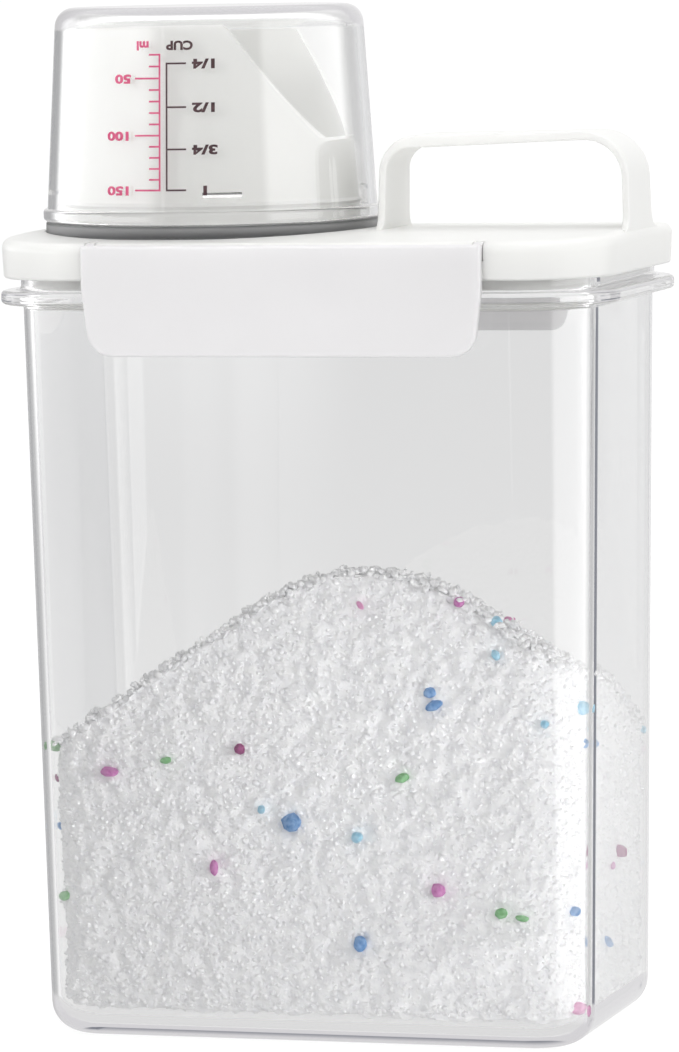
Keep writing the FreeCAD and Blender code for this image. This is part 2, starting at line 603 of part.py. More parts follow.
def make_handle():
    body = new_body("handle_arch")
    outline = sketch_on(body, "arch_outline", "XZ_Plane")
    left = "made.handle_left"
    right = "made.handle_right"
    polygon(outline, [
        (left, "made.handle_foot"),
        (left + " + sizes.handle_lean", "made.handle_top_left"),
        (right + " - sizes.handle_lean", "made.handle_top_right"),
        (right, "made.handle_foot"),
        (right + " - sizes.handle_wall", "made.handle_foot"),
        (right + " - sizes.handle_lean - sizes.handle_wall", "made.handle_under_right"),
        (left + " + sizes.handle_lean + sizes.handle_wall", "made.handle_under_left"),
        (left + " + sizes.handle_wall", "made.handle_foot"),
    ])
    feature = extrude(body, "Pad", "arch", outline, "sizes.handle_foot_depth", symmetric=True)
    corners = [
        ("arch_round_left", "sizes.handle_round_left", left + " + sizes.handle_lean",
         "made.handle_top_left"),
        ("arch_round_right", "sizes.handle_round_right", right + " - sizes.handle_lean",
         "made.handle_top_right"),
        ("arch_inner_left", "sizes.handle_inner_left", left + " + sizes.handle_lean + sizes.handle_wall",
         "made.handle_under_left"),
        ("arch_inner_right", "sizes.handle_inner_right", right + " - sizes.handle_lean - sizes.handle_wall",
         "made.handle_under_right"),
    ]
    for name, radius, x, z in corners:
        corner_x = size(x)
        corner_z = size(z)

        def chosen(edge):
            centre = edge.BoundBox.Center
            return edge.BoundBox.YLength > 1 and math.hypot(centre.x - corner_x, centre.z - corner_z) < 0.01

        feature = fillet(body, name, feature, radius, chosen)
    for side, side_name in ((-1, "front"), (1, "back")):
        flare = sketch_on(body, "handle_%s_outline" % side_name, "YZ_Plane")
        flare_outline(flare, side)
        length = "4 * made.handle_right"
        feature = extrude(body, "Pocket", "handle_%s" % side_name, flare, length, symmetric=True)
    lid_surface = size("made.lid_top")
    half_depth = size("sizes.handle_depth") / 2

    def along_ribbon(edge):
        box = edge.BoundBox
        same_side = box.YMin > half_depth - 0.5 or box.YMax < 0.5 - half_depth
        return same_side and box.ZMax > lid_surface and box.ZLength + box.XLength > 1

    fillet(body, "ribbon_edge_round", feature, "sizes.handle_edge_round", along_ribbon)
    return body


def make_lid():
    pieces = [make_lid_shell(), make_spout(), make_handle()]
    lid = doc.addObject("Part::MultiFuse", "lid")
    lid.Label = "lid"
    lid.Shapes = pieces
    lid.Refine = True
    doc.recompute()
    return lid


# --- clips: flaps that hang on two pins of their own and hook under the tank's flange ---

def make_clip(label, turn):
    body = new_body(label)
    outline = sketch_on(body, label + "_outline", "XZ_Plane", "made.clip_face")
    half = "sizes.clip_width / 2"
    narrow = "(sizes.clip_width / 2 - sizes.clip_taper)"
    polygon(outline, [
        ("-" + half, "made.clip_top"),
        ("-" + half, "made.clip_shoulder"),
        ("-" + narrow, "made.clip_bottom"),
        (narrow, "made.clip_bottom"),
        (half, "made.clip_shoulder"),
        (half, "made.clip_top"),
    ])
    plate = extrude(body, "Pad", label + "_plate", outline, "sizes.clip_wall")
    bottom = size("made.clip_bottom")
    cornered = fillet(body, label + "_corners", plate, "sizes.clip_corner",
                      lambda edge: edge.BoundBox.YLength > 1 and abs(edge.BoundBox.ZMax - bottom) < 0.01)
    face = -size("made.clip_face + sizes.clip_wall")
    fillet(body, label + "_face_round", cornered, "sizes.clip_edge_round",
           lambda edge: edge.BoundBox.YMax < face + 0.01)
    hook = sketch_on(body, label + "_hook_outline", "YZ_Plane")
    root = "-(made.clip_face + sizes.clip_wall / 4)"
    tip = "-(made.clip_face - sizes.hook_bite)"
    polygon(hook, [
        (root, "made.hook_top"),
        (tip, "made.hook_top"),
        (tip, "made.hook_top - sizes.hook_nose"),
        (root, "made.hook_top - sizes.hook_height"),
    ])
    extrude(body, "Pad", label + "_hook", hook, "sizes.clip_width - 2 * sizes.hook_inset", symmetric=True)
    hinge = "-made.hinge_offset"
    for end, end_name in ((-1, "left"), (1, "right")):
        name = "%s_%s" % (label, end_name)
        ear_from = "made.ear_outer - sizes.ear_width" if end > 0 else "-made.ear_outer"
        ear = sketch_on(body, name + "_ear_outline", "YZ_Plane", ear_from)
        circle_at(ear, hinge, "made.hinge_height", "sizes.ear_radius")
        extrude(body, "Pad", name + "_ear", ear, "sizes.ear_width")
        web = sketch_on(body, name + "_web_outline", "YZ_Plane", ear_from)
        low = "made.hinge_height - sizes.ear_radius"
        high = "made.hinge_height + sizes.ear_radius / 2"
        polygon(web, [(root, low), (hinge, low), (hinge, high), (root, high)])
        extrude(body, "Pad", name + "_web", web, "sizes.ear_width")
        pin_from = "made.ear_outer" if end > 0 else "-(made.ear_outer + sizes.pin_length)"
        pin = sketch_on(body, name + "_pin_outline", "YZ_Plane", pin_from)
        circle_at(pin, hinge, "made.hinge_height", "sizes.pin_radius")
        extrude(body, "Pad", name + "_pin", pin, "sizes.pin_length")
    facing = FreeCAD.Rotation(FreeCAD.Vector(0, 0, 1), turn)
    body.Placement = FreeCAD.Placement(FreeCAD.Vector(0, 0, 0), facing)
    return body


# --- soft rings ---

def make_lid_gasket():
    body = new_body("lid_gasket")
    ring = sketch_on(body, "gasket_outline", "XY_Plane", "made.neck_top")
    width = "made.neck_width - 2 * sizes.gasket_rest"
    depth = "made.neck_depth - 2 * sizes.gasket_rest"
    rounded_rectangle(ring, width, depth, "made.neck_corner - sizes.gasket_rest")
    rounded_rectangle(ring, "made.collar_width", "made.collar_depth", "made.collar_corner")
    extrude(body, "Pad", "gasket_ring", ring, "sizes.gasket_height")
    return body


def make_cup_seal():
    body = new_body("cup_seal")
    bind(body, "Placement.Base.x", "made.spout_place")
    profile = sketch_on(body, "seal_profile", "XZ_Plane")
    top = "made.spout_seat + sizes.seal_height"
    polygon(profile, [
        ("sizes.spout_base_radius + sizes.seal_play", "made.spout_seat"),
        ("made.seal_radius", "made.spout_seat"),
        ("made.seal_radius", top),
        ("sizes.spout_base_radius + sizes.seal_play", top),
    ])
    ring = revolve(body, "Revolution", "seal_ring", profile)
    radius = size("made.seal_radius")
    fillet(body, "seal_round", ring, "sizes.seal_edge_round",
           lambda edge: edge.BoundBox.XLength > 2 * radius - 0.01 and edge.BoundBox.ZLength < 0.01)
    return body


# --- measuring cup, upside down over the spout ---

def cup_inner_radius(height):
    """Radius of the cup's inner wall at a height; the wall leans in towards the closed end."""
    lean = "sizes.cup_lean / (made.cup_top - made.cup_shoulder)"
    return "(made.cup_mouth_radius - sizes.cup_wall - (%s - made.cup_shoulder) * %s)" % (height, lean)


def make_cup():
    body = new_body("measuring_cup")
    profile = sketch_on(body, "cup_profile", "XZ_Plane")
    polygon(profile, [
        (cup_inner_radius("made.cup_rim"), "made.cup_rim"),
        ("made.cup_rim_radius", "made.cup_rim"),
        ("made.cup_rim_radius", "made.cup_shoulder"),
        ("made.cup_mouth_radius", "made.cup_shoulder"),
        ("made.cup_end_radius", "made.cup_top"),
        ("0", "made.cup_top"),
        ("0", "made.cup_inner_top"),
        (cup_inner_radius("made.cup_inner_top"), "made.cup_inner_top"),
    ])
    wall = revolve(body, "Revolution", "cup_wall_turned", profile)
    end_radius = size("made.cup_end_radius")
    top = size("made.cup_top")
    inner = size("made.cup_inner_top")
    rim = size("made.cup_rim")
    shoulder = size("made.cup_shoulder")
    rim_radius = size("made.cup_rim_radius")
    wall = fillet(body, "cup_end_round", wall, "sizes.cup_end_round", level(top))
    wall = fillet(body, "cup_inner_round", wall, "sizes.cup_inner_round", level(inner))
    outer_rim = [level(rim), level(shoulder)]
    wall = fillet(body, "cup_rim_round", wall, "sizes.cup_rim_round",
                  lambda edge: any(at(edge) for at in outer_rim)
                  and edge.BoundBox.XLength > 2 * rim_radius - 0.01)
    bead = sketch_on(body, "bead_profile", "XZ_Plane")
    at = "made.bead_height"
    tip = "%s - sizes.bead_reach" % cup_inner_radius(at)
    buried = "%s + sizes.cup_wall / 3" % cup_inner_radius(at)
    polygon(bead, [(tip, at), (buried, at + " - sizes.bead_half"), (buried, at + " + sizes.bead_half")])
    turned = revolve(body, "Revolution", "bead", bead)
    turned.Midplane = True
    bind(turned, "Angle", "sizes.bead_span")
    pattern = body.newObject("PartDesign::PolarPattern", "beads")
    pattern.Originals = [turned]
    pattern.Axis = (bead, ["V_Axis"])
    pattern.Angle = 360
    bind(pattern, "Occurrences", "sizes.bead_count")
    body.Tip = pattern
    doc.recompute()
    facing = FreeCAD.Rotation(FreeCAD.Vector(0, 0, 1), size("sizes.bead_turn") - 90)
    body.Placement = FreeCAD.Placement(FreeCAD.Vector(size("made.spout_place"), 0, 0), facing)
    return body


# --- powder: what the tank's cavity and a rounded cone at the angle of repose share ---

def make_powder():
    block = new_body("powder_block")
    outline = sketch_on(block, "powder_outline", "XY_Plane", "sizes.floor_thickness")
    width = "made.mouth_width - 2 * made.powder_fall"
    depth = "made.mouth_depth - 2 * made.powder_fall"
    rounded_rectangle(outline, width, depth, "made.mouth_corner - made.powder_fall")
    filled = extrude(block, "Pad", "powder_column", outline, "made.heap_top", "sizes.tank_draft")
    floor = size("sizes.floor_thickness")
    fillet(block, "powder_floor_round", filled, "sizes.cavity_round", level(floor))
    heap = new_body("powder_cone")
    profile = sketch_on(heap, "cone_profile", "XZ_Plane")
    slope = math.radians(size("sizes.heap_slope"))
    radius = size("sizes.heap_round")
    crest = size("made.heap_top")
    centre = FreeCAD.Vector(0, crest - radius, 0)
    circle = Part.Circle(centre, FreeCAD.Vector(0, 0, 1), radius)
    cap = profile.addGeometry(Part.ArcOfCircle(circle, math.pi / 2 - slope, math.pi / 2))
    shoulder = profile.getPoint(cap, 1)
    foot = FreeCAD.Vector(shoulder.x + shoulder.y / math.tan(slope), 0, 0)
    origin = FreeCAD.Vector(0, 0, 0)
    side = profile.addGeometry(Part.LineSegment(foot, shoulder))
    base = profile.addGeometry(Part.LineSegment(origin, foot))
    axis = profile.addGeometry(Part.LineSegment(profile.getPoint(cap, 2), origin))
    profile.addConstraint(Sketcher.Constraint("Tangent", side, 2, cap, 1))
    profile.addConstraint(Sketcher.Constraint("Coincident", base, 2, side, 1))
    profile.addConstraint(Sketcher.Constraint("Coincident", cap, 2, axis, 1))
    profile.addConstraint(Sketcher.Constraint("Coincident", axis, 2, base, 1))
    profile.addConstraint(Sketcher.Constraint("Coincident", base, 1, -1, 1))
    profile.addConstraint(Sketcher.Constraint("Horizontal", base))
    profile.addConstraint(Sketcher.Constraint("Vertical", axis))
    profile.addConstraint(Sketcher.Constraint("PointOnObject", cap, 3, -2))
    dimension(profile, "Radius", [cap], "sizes.heap_round")
    dimension(profile, "DistanceY", [-1, 1, cap, 2], "made.heap_top")
    angle = profile.addConstraint(Sketcher.Constraint("Angle", side, 1, base, 2, slope))
    bind(profile, "Constraints[%d]" % angle, "sizes.heap_slope * 1deg")
    revolve(heap, "Revolution", "cone", profile)
    bind(heap, "Placement.Base.x", "sizes.heap_right")
    bind(heap, "Placement.Base.y", "-sizes.heap_forward")
    powder = doc.addObject("Part::Common", "powder_fill")
    powder.Label = "powder_fill"
    powder.Base = block
    powder.Tool = heap
    doc.recompute()
    return powder


PIECES = [
    make_tank(),
    make_lid(),
    make_lid_gasket(),
    make_clip("front_clip", 0),
    make_clip("back_clip", 180),
    make_cup_seal(),
    make_cup(),
    make_powder(),
]
doc.recompute()

for item in doc.Objects:
    if "Invalid" in item.State or "Error" in item.State:
        raise RuntimeError("%s did not build: %s" % (item.Label, item.State))
for piece in PIECES:
    shape = piece.Shape
    if shape.isNull() or not shape.isValid() or len(shape.Solids) != 1:
        raise RuntimeError("%s is not one sound solid" % piece.Label)
    shape.exportStep("parts/%s.step" % piece.Label)
    print("%-14s %8.2f cm3" % (piece.Label, shape.Volume / 1000))
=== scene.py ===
import math

import bmesh
import bpy
import numpy
from mathutils import Matrix, Vector, noise
from mathutils.bvhtree import BVHTree


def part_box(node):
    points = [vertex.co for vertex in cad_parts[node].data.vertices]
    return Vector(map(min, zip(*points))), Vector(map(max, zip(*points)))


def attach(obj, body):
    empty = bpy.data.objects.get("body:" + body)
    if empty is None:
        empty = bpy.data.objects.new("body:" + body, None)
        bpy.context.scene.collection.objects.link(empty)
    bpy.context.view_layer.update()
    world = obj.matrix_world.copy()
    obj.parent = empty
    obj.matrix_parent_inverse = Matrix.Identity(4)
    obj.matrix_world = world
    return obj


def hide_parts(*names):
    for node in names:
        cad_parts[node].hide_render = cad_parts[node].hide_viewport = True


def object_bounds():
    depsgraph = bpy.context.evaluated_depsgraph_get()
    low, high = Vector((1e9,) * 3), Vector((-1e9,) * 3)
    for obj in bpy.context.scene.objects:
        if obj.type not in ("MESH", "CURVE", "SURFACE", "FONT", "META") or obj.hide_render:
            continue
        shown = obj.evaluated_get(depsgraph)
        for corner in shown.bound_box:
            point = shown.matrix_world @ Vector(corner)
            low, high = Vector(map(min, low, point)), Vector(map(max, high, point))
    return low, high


# Laundry detergent dispenser: materials, powder, printed scales, lights and camera.
# Everything is in metres, in the frame of the model: +Z up, front clip towards -Y.

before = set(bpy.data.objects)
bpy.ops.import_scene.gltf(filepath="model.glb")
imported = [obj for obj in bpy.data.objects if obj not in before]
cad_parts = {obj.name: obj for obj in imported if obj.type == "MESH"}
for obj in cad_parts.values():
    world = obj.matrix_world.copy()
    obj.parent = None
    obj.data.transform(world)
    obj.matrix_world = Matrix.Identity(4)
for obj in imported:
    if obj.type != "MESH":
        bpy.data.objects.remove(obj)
cad_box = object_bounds()

MM = 0.001


# --- shader helpers ---

def new_material(name):
    """Empty node material."""
    material = bpy.data.materials.new(name)
    material.use_nodes = True
    material.node_tree.nodes.clear()
    return material


def add_node(owner, kind, **values):
    """Adds a node and sets its sockets, given by name with underscores for spaces."""
    node = owner.node_tree.nodes.new(kind)
    for key, value in values.items():
        node.inputs[key.replace("_", " ")].default_value = value
    return node


def link(owner, source, target):
    """Joins an output socket to an input socket."""
    owner.node_tree.links.new(source, target)


def noise_bump(material, scale, strength, distance, detail=3.0):
    """Bump from noise in object space; returns its normal output."""
    place = add_node(material, "ShaderNodeTexCoord")
    grain = add_node(material, "ShaderNodeTexNoise", Scale=scale, Detail=detail)
    bump = add_node(material, "ShaderNodeBump", Strength=strength, Distance=distance)
    link(material, place.outputs["Object"], grain.inputs["Vector"])
    link(material, grain.outputs["Fac"], bump.inputs["Height"])
    return bump.outputs["Normal"]


def varied_roughness(material, scale, low, high):
    """Roughness that wanders between two values in object space."""
    place = add_node(material, "ShaderNodeTexCoord")
    cloud = add_node(material, "ShaderNodeTexNoise", Scale=scale, Detail=2.0)
    spread = add_node(material, "ShaderNodeMapRange", To_Min=low, To_Max=high)
    link(material, place.outputs["Object"], cloud.inputs["Vector"])
    link(material, cloud.outputs["Fac"], spread.inputs["Value"])
    return spread.outputs["Result"]


def varied_colour(material, scale, first, second, detail=3.0):
    """Colour that wanders between two colours in object space."""
    place = add_node(material, "ShaderNodeTexCoord")
    cloud = add_node(material, "ShaderNodeTexNoise", Scale=scale, Detail=detail)
    ramp = add_node(material, "ShaderNodeValToRGB")
    ramp.color_ramp.elements[0].position = 0.35
    ramp.color_ramp.elements[0].color = first
    ramp.color_ramp.elements[1].position = 0.65
    ramp.color_ramp.elements[1].color = second
    link(material, place.outputs["Object"], cloud.inputs["Vector"])
    link(material, cloud.outputs["Fac"], ramp.inputs["Fac"])
    return ramp.outputs["Color"]


def add_math(owner, operation, first, second):
    """Math node on two inputs, each an output socket or a number."""
    node = add_node(owner, "ShaderNodeMath")
    node.operation = operation
    for socket, value in zip(node.inputs, (first, second)):
        if isinstance(value, (int, float)):
            socket.default_value = value
        else:
            link(owner, value, socket)
    return node.outputs["Value"]


# Light that has bounced or mirrored more often than this inside clear plastic leaves it straight on.
DEEP_BOUNCE = 6.5
DEEP_MIRROR = 2.5


def trapped(owner, path):
    """1 for light that keeps bouncing inside clear plastic, else 0."""
    bounced = add_math(owner, "GREATER_THAN", path.outputs["Ray Depth"], DEEP_BOUNCE)
    mirrored = add_math(owner, "GREATER_THAN", path.outputs["Glossy Depth"], DEEP_MIRROR)
    return add_math(owner, "MAXIMUM", bounced, mirrored)


def ramped(owner, value, first, last, low=0.0, high=1.0):
    """Number that runs smoothly from low to high while value goes from first to last."""
    ramp = add_node(owner, "ShaderNodeMapRange", From_Min=first, From_Max=last, To_Min=low, To_Max=high)
    ramp.interpolation_type = "SMOOTHSTEP"
    link(owner, value, ramp.inputs["Value"])
    return ramp.outputs["Result"]


def clear_plastic(name, tint, ior, roughness, shadow_tint):
    """Transparent plastic or silicone; lamps shine straight through it, dimmed by the shadow tint."""
    material = new_material(name)
    low, high = roughness
    body = add_node(material, "ShaderNodeBsdfPrincipled", Base_Color=tint, IOR=ior, Transmission_Weight=1.0)
    link(material, varied_roughness(material, 40.0, low, high), body.inputs["Roughness"])
    link(material, noise_bump(material, 18.0, 0.02, 0.0004, 1.0), body.inputs["Normal"])
    passing = add_node(material, "ShaderNodeBsdfTransparent", Color=shadow_tint)
    path = add_node(material, "ShaderNodeLightPath")
    straight = add_math(material, "MAXIMUM", path.outputs["Is Shadow Ray"], trapped(material, path))
    mix = add_node(material, "ShaderNodeMixShader")
    output = add_node(material, "ShaderNodeOutputMaterial")
    link(material, straight, mix.inputs["Fac"])
    link(material, body.outputs["BSDF"], mix.inputs[1])
    link(material, passing.outputs["BSDF"], mix.inputs[2])
    link(material, mix.outputs["Shader"], output.inputs["Surface"])
    return material


def shade_edges(material, node, dark, pale):
    """Paints shade on a ring: darker towards its upper and lower edge, a painted contact shadow where it
    meets its neighbours.
    """
    low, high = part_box(node)
    place = add_node(material, "ShaderNodeTexCoord")
    parts = add_node(material, "ShaderNodeSeparateXYZ")
    height = add_node(material, "ShaderNodeMapRange", From_Min=low[2], From_Max=high[2])
    cloud = add_node(material, "ShaderNodeTexNoise", Scale=150.0)
    ramp = add_node(material, "ShaderNodeValToRGB")
    stops = ramp.color_ramp.elements
    # The dark stops at both ends are painted shadow where the ring meets the cup above and the lid below.
    for stop, position, colour in ((stops[0], 0.12, dark), (stops[1], 0.3, pale),
                                   (stops.new(0.75), 0.75, pale), (stops.new(0.92), 0.92, dark)):
        stop.position = position
        stop.color = colour
    link(material, place.outputs["Object"], parts.inputs["Vector"])
    link(material, place.outputs["Object"], cloud.inputs["Vector"])
    link(material, parts.outputs["Z"], height.inputs["Value"])
    wavy = add_math(material, "MULTIPLY_ADD", cloud.outputs["Fac"], 0.06)
    link(material, height.outputs["Result"], wavy.node.inputs[2])
    link(material, wavy, ramp.inputs["Fac"])
    body = next(shader for shader in material.node_tree.nodes if shader.type == "BSDF_PRINCIPLED")
    link(material, ramp.outputs["Color"], body.inputs["Base Color"])


def moulded_plastic(name, first, second, roughness, bump):
    """Opaque moulded plastic with a faint skin texture and a little depth of colour."""
    material = new_material(name)
    low, high = roughness
    body = add_node(material, "ShaderNodeBsdfPrincipled", IOR=1.48, Subsurface_Weight=0.5,
                    Subsurface_Radius=(1, 1, 1), Subsurface_Scale=4 * MM)
    link(material, varied_colour(material, 30.0, first, second), body.inputs["Base Color"])
    link(material, varied_roughness(material, 120.0, low, high), body.inputs["Roughness"])
    link(material, noise_bump(material, 2500.0, bump, 0.00004), body.inputs["Normal"])
    output = add_node(material, "ShaderNodeOutputMaterial")
    link(material, body.outputs["BSDF"], output.inputs["Surface"])
    return material


def grain_material(name, first, second, scale):
    """Matt crystalline grain whose colour varies from place to place."""
    material = new_material(name)
    body = add_node(material, "ShaderNodeBsdfPrincipled", Roughness=0.75, IOR=1.4, Specular_IOR_Level=0.3)
    link(material, varied_colour(material, scale, first, second, 2.0), body.inputs["Base Color"])
    link(material, noise_bump(material, 900.0, 0.8, 0.0006), body.inputs["Normal"])
    output = add_node(material, "ShaderNodeOutputMaterial")
    link(material, body.outputs["BSDF"], output.inputs["Surface"])
    return material


def printed_ink(name, first, second):
    """Thin screen-printed ink, slightly uneven."""
    material = new_material(name)
    body = add_node(material, "ShaderNodeBsdfPrincipled", Roughness=0.5, IOR=1.45)
    link(material, varied_colour(material, 900.0, first, second), body.inputs["Base Color"])
    link(material, noise_bump(material, 3000.0, 0.2, 0.00002), body.inputs["Normal"])
    output = add_node(material, "ShaderNodeOutputMaterial")
    link(material, body.outputs["BSDF"], output.inputs["Surface"])
    return material


def dress(node, material):
    """Gives a node of the frame one material."""
    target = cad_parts[node]
    target.data.materials.clear()
    target.data.materials.append(material)


# --- materials of the frame's own nodes ---

PLASTIC_IOR = 1.5
SILICONE_IOR = 1.41

white_lid = moulded_plastic("white_lid_plastic", (0.86, 0.86, 0.84, 1), (0.88, 0.88, 0.86, 1),
                            (0.3, 0.4), 0.15)
white_clip = moulded_plastic("white_clip_plastic", (0.79, 0.78, 0.79, 1), (0.81, 0.80, 0.81, 1),
                             (0.32, 0.42), 0.2)
tank_plastic = clear_plastic("clear_tank_plastic", (0.99, 0.99, 0.99, 1), PLASTIC_IOR,
                             (0.0, 0.03), (0.995, 0.995, 0.995, 1))
cup_plastic = clear_plastic("clear_cup_plastic", (0.988, 0.988, 0.985, 1), PLASTIC_IOR,
                            (0.0, 0.04), (0.995, 0.995, 0.995, 1))
gasket_rubber = clear_plastic("clear_gasket_silicone", (0.985, 0.985, 0.985, 1), SILICONE_IOR,
                              (0.3, 0.45), (0.98, 0.98, 0.98, 1))
seal_rubber = clear_plastic("clear_seal_silicone", (0.74, 0.74, 0.76, 1), SILICONE_IOR,
                            (0.35, 0.5), (0.75, 0.75, 0.75, 1))
# The seal's dark upper and lower edges are painted contact shadow, not a colour of the silicone.
shade_edges(seal_rubber, "cup_seal", (0.16, 0.16, 0.17, 1), (0.66, 0.66, 0.67, 1))

dress("tank", tank_plastic)
dress("lid", white_lid)
dress("lid_gasket", gasket_rubber)
dress("front_clip", white_clip)
dress("back_clip", white_clip)
dress("cup_seal", seal_rubber)
dress("measuring_cup", cup_plastic)


def add_piece(name, mesh, material, body):
    """Object for a mesh that moves with a body and belongs to a material slot."""
    piece = bpy.data.objects.new(name, mesh)
    bpy.context.scene.collection.objects.link(piece)
    mesh.materials.clear()
    mesh.materials.append(material)
    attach(piece, body)
    return piece


# --- powder: a crumbly core with loose grains pressed into it ---

GRAIN_SIZE = 1.45 * MM
GRAIN_SPREAD = 0.4  # how far a grain's size and stretch stray, as a share
GRAIN_SPACING = 1.2 * MM
GRAINS_PER_PIECE = 9000
CRUMB_STEP = 0.8 * MM
CORE_INSET = 0.75 * MM
CRUMB_DEPTH = 1.8 * MM
CRUMB_SCALE = 2.8 * MM
LUMP_SCALE = 7.0 * MM
LUMP_DEPTH = 0.8 * MM
POWDER_SEED = 11
UNDERSIDE = -0.5  # a normal that points further down than this lies on the hidden underside
NEIGHBOURS = [(x, y, z) for x in (-1, 0, 1) for y in (-1, 0, 1) for z in (-1, 0, 1)]

powder_white = grain_material("powder_white", (0.93, 0.93, 0.945, 1), (0.995, 0.995, 0.997, 1), 480.0)


def surface_samples(mesh, spacing, random):
    """Points spread evenly over a mesh, with the surface's normal at each."""
    mesh.calc_loop_triangles()
    count = len(mesh.loop_triangles)
    corners = numpy.empty(count * 3, dtype=numpy.int32)
    mesh.loop_triangles.foreach_get("vertices", corners)
    places = numpy.empty(len(mesh.vertices) * 3)
    mesh.vertices.foreach_get("co", places)
    triangles = places.reshape(-1, 3)[corners.reshape(-1, 3)]
    across = numpy.cross(triangles[:, 1] - triangles[:, 0], triangles[:, 2] - triangles[:, 0])
    area = numpy.linalg.norm(across, axis=1) / 2
    normals = across / numpy.maximum(2 * area[:, None], 1e-12)
    wanted = int(4 * area.sum() / spacing ** 2)
    chosen = random.choice(count, wanted, p=area / area.sum())
    first = numpy.sqrt(random.random(wanted))[:, None]
    second = random.random(wanted)[:, None]
    parts = triangles[chosen]
    points = (1 - first) * parts[:, 0] + first * (1 - second) * parts[:, 1] + first * second * parts[:, 2]
    return thinned(points, normals[chosen], spacing)


def thinned(points, normals, spacing):
    """Drops points that lie closer to an earlier one than the spacing."""
    cells = {}
    kept = []
    limit = spacing * spacing
    for index, (cell, point) in enumerate(zip((points // spacing).astype(int).tolist(), points.tolist())):
        column, row, level = cell
        near = False
        for step in NEIGHBOURS:
            for other in cells.get((column + step[0], row + step[1], level + step[2]), ()):
                gap = (other[0] - point[0]) ** 2 + (other[1] - point[1]) ** 2 + (other[2] - point[2]) ** 2
                if gap < limit:
                    near = True
                    break
            if near:
                break
        if not near:
            cells.setdefault((column, row, level), []).append(point)
            kept.append(index)
    return points[kept], normals[kept]


def ball_shape(subdivisions):
    """Corners and faces of a unit ball."""
    ball = bmesh.new()
    bmesh.ops.create_icosphere(ball, subdivisions=subdivisions, radius=1.0)
    corners = numpy.array([tuple(vertex.co) for vertex in ball.verts])
    faces = numpy.array([[vertex.index for vertex in face.verts] for face in ball.faces])
    ball.free()
    return corners, faces


def lump_mesh(name, centres, radii, random, subdivisions=1, roughness=0.3):
    """One mesh of many lumps, each turned and squeezed its own way."""
    corners, faces = ball_shape(subdivisions)
    count = len(centres)
    stretch = 1 + GRAIN_SPREAD * (random.random((count, 1, 3)) - 0.5) * 2
    bumps = 1 + roughness * (random.random((count, len(corners), 1)) - 0.5) * 2
    spin = random.normal(size=(count, 4))
    spin /= numpy.linalg.norm(spin, axis=1)[:, None]
    w, x, y, z = spin.T
    turn = numpy.array([
        [1 - 2 * (y * y + z * z), 2 * (x * y - z * w), 2 * (x * z + y * w)],
        [2 * (x * y + z * w), 1 - 2 * (x * x + z * z), 2 * (y * z - x * w)],
        [2 * (x * z - y * w), 2 * (y * z + x * w), 1 - 2 * (x * x + y * y)],
    ]).transpose(2, 0, 1)
    shaped = numpy.einsum("nij,nkj->nki", turn, corners[None] * stretch * bumps)
    placed = centres[:, None, :] + shaped * radii[:, None, None]
    all_faces = faces[None] + len(corners) * numpy.arange(count)[:, None, None]
    mesh = bpy.data.meshes.new(name)
    mesh.from_pydata(placed.reshape(-1, 3).tolist(), [], all_faces.reshape(-1, 3).tolist())
    mesh.polygons.foreach_set("use_smooth", [True] * len(mesh.polygons))
    return mesh


def rippled(points, scale):
    """Smooth noise from 0 to 1 at points, with features of about the given size."""
    values = [noise.noise(point / scale) + 0.5 * noise.noise(point / scale * 2.3)
              for point in map(Vector, points.tolist())]
    return numpy.clip(0.5 + 0.6 * numpy.array(values), 0, 1)


def crumbly_core(solid):
    """Evenly meshed copy of the powder whose surface sinks in crumbs of two sizes."""
    carrier = bpy.data.objects.new("core", solid.copy())
    bpy.context.scene.collection.objects.link(carrier)
    remesh = carrier.modifiers.new("even", "REMESH")
    remesh.mode = "VOXEL"
    remesh.voxel_size = CRUMB_STEP
    bpy.context.view_layer.update()
    core = bpy.data.meshes.new_from_object(carrier.evaluated_get(bpy.context.evaluated_depsgraph_get()))
    bpy.data.objects.remove(carrier)
    count = len(core.vertices)
    places = numpy.empty(count * 3)
    core.vertices.foreach_get("co", places)
    places = places.reshape(-1, 3)
    normals = numpy.empty(count * 3)
    core.vertex_normals.foreach_get("vector", normals)
    normals = normals.reshape(-1, 3)
    sink = CORE_INSET + CRUMB_DEPTH * rippled(places, CRUMB_SCALE) + LUMP_DEPTH * rippled(places, LUMP_SCALE)
    core.vertices.foreach_set("co", (places - normals * sink[:, None]).ravel())
    core.polygons.foreach_set("use_smooth", [True] * len(core.polygons))
    core.update()
    core.name = "powder_core"
    return core


def make_powder():
    """The core, the grains in pieces of limited size, and the specks, in place of the plain solid."""
    random = numpy.random.default_rng(POWDER_SEED)
    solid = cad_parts["powder_fill"].data
    pieces = [add_piece("powder_core", crumbly_core(solid), powder_white, "dispenser")]
    points, normals = surface_samples(solid, GRAIN_SPACING, random)
    keep = normals[:, 2] > UNDERSIDE
    points = points[keep]
    normals = normals[keep]
    radii = GRAIN_SIZE / 2 * (1 + GRAIN_SPREAD * (random.random(len(points)) - 0.5) * 2)
    free = numpy.clip((normals[:, 2] - 0.2) / 0.3, 0, 1)
    depth = radii * (1 + GRAIN_SPREAD) + LUMP_DEPTH * rippled(points, LUMP_SCALE)
    depth += CRUMB_DEPTH * rippled(points, CRUMB_SCALE) * (1 - free)
    depth -= free * random.random(len(points)) ** 2 * GRAIN_SIZE
    centres = points - normals * depth[:, None]
    for start in range(0, len(centres), GRAINS_PER_PIECE):
        part = slice(start, start + GRAINS_PER_PIECE)
        name = "powder_grains_%d" % (start // GRAINS_PER_PIECE + 1)
        mesh = lump_mesh(name, centres[part], radii[part], random)
        pieces.append(add_piece(name, mesh, powder_white, "dispenser"))
    pieces += make_specks(solid, random)
    for piece in pieces:
        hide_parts("powder_fill")


# --- coloured specks in the powder ---

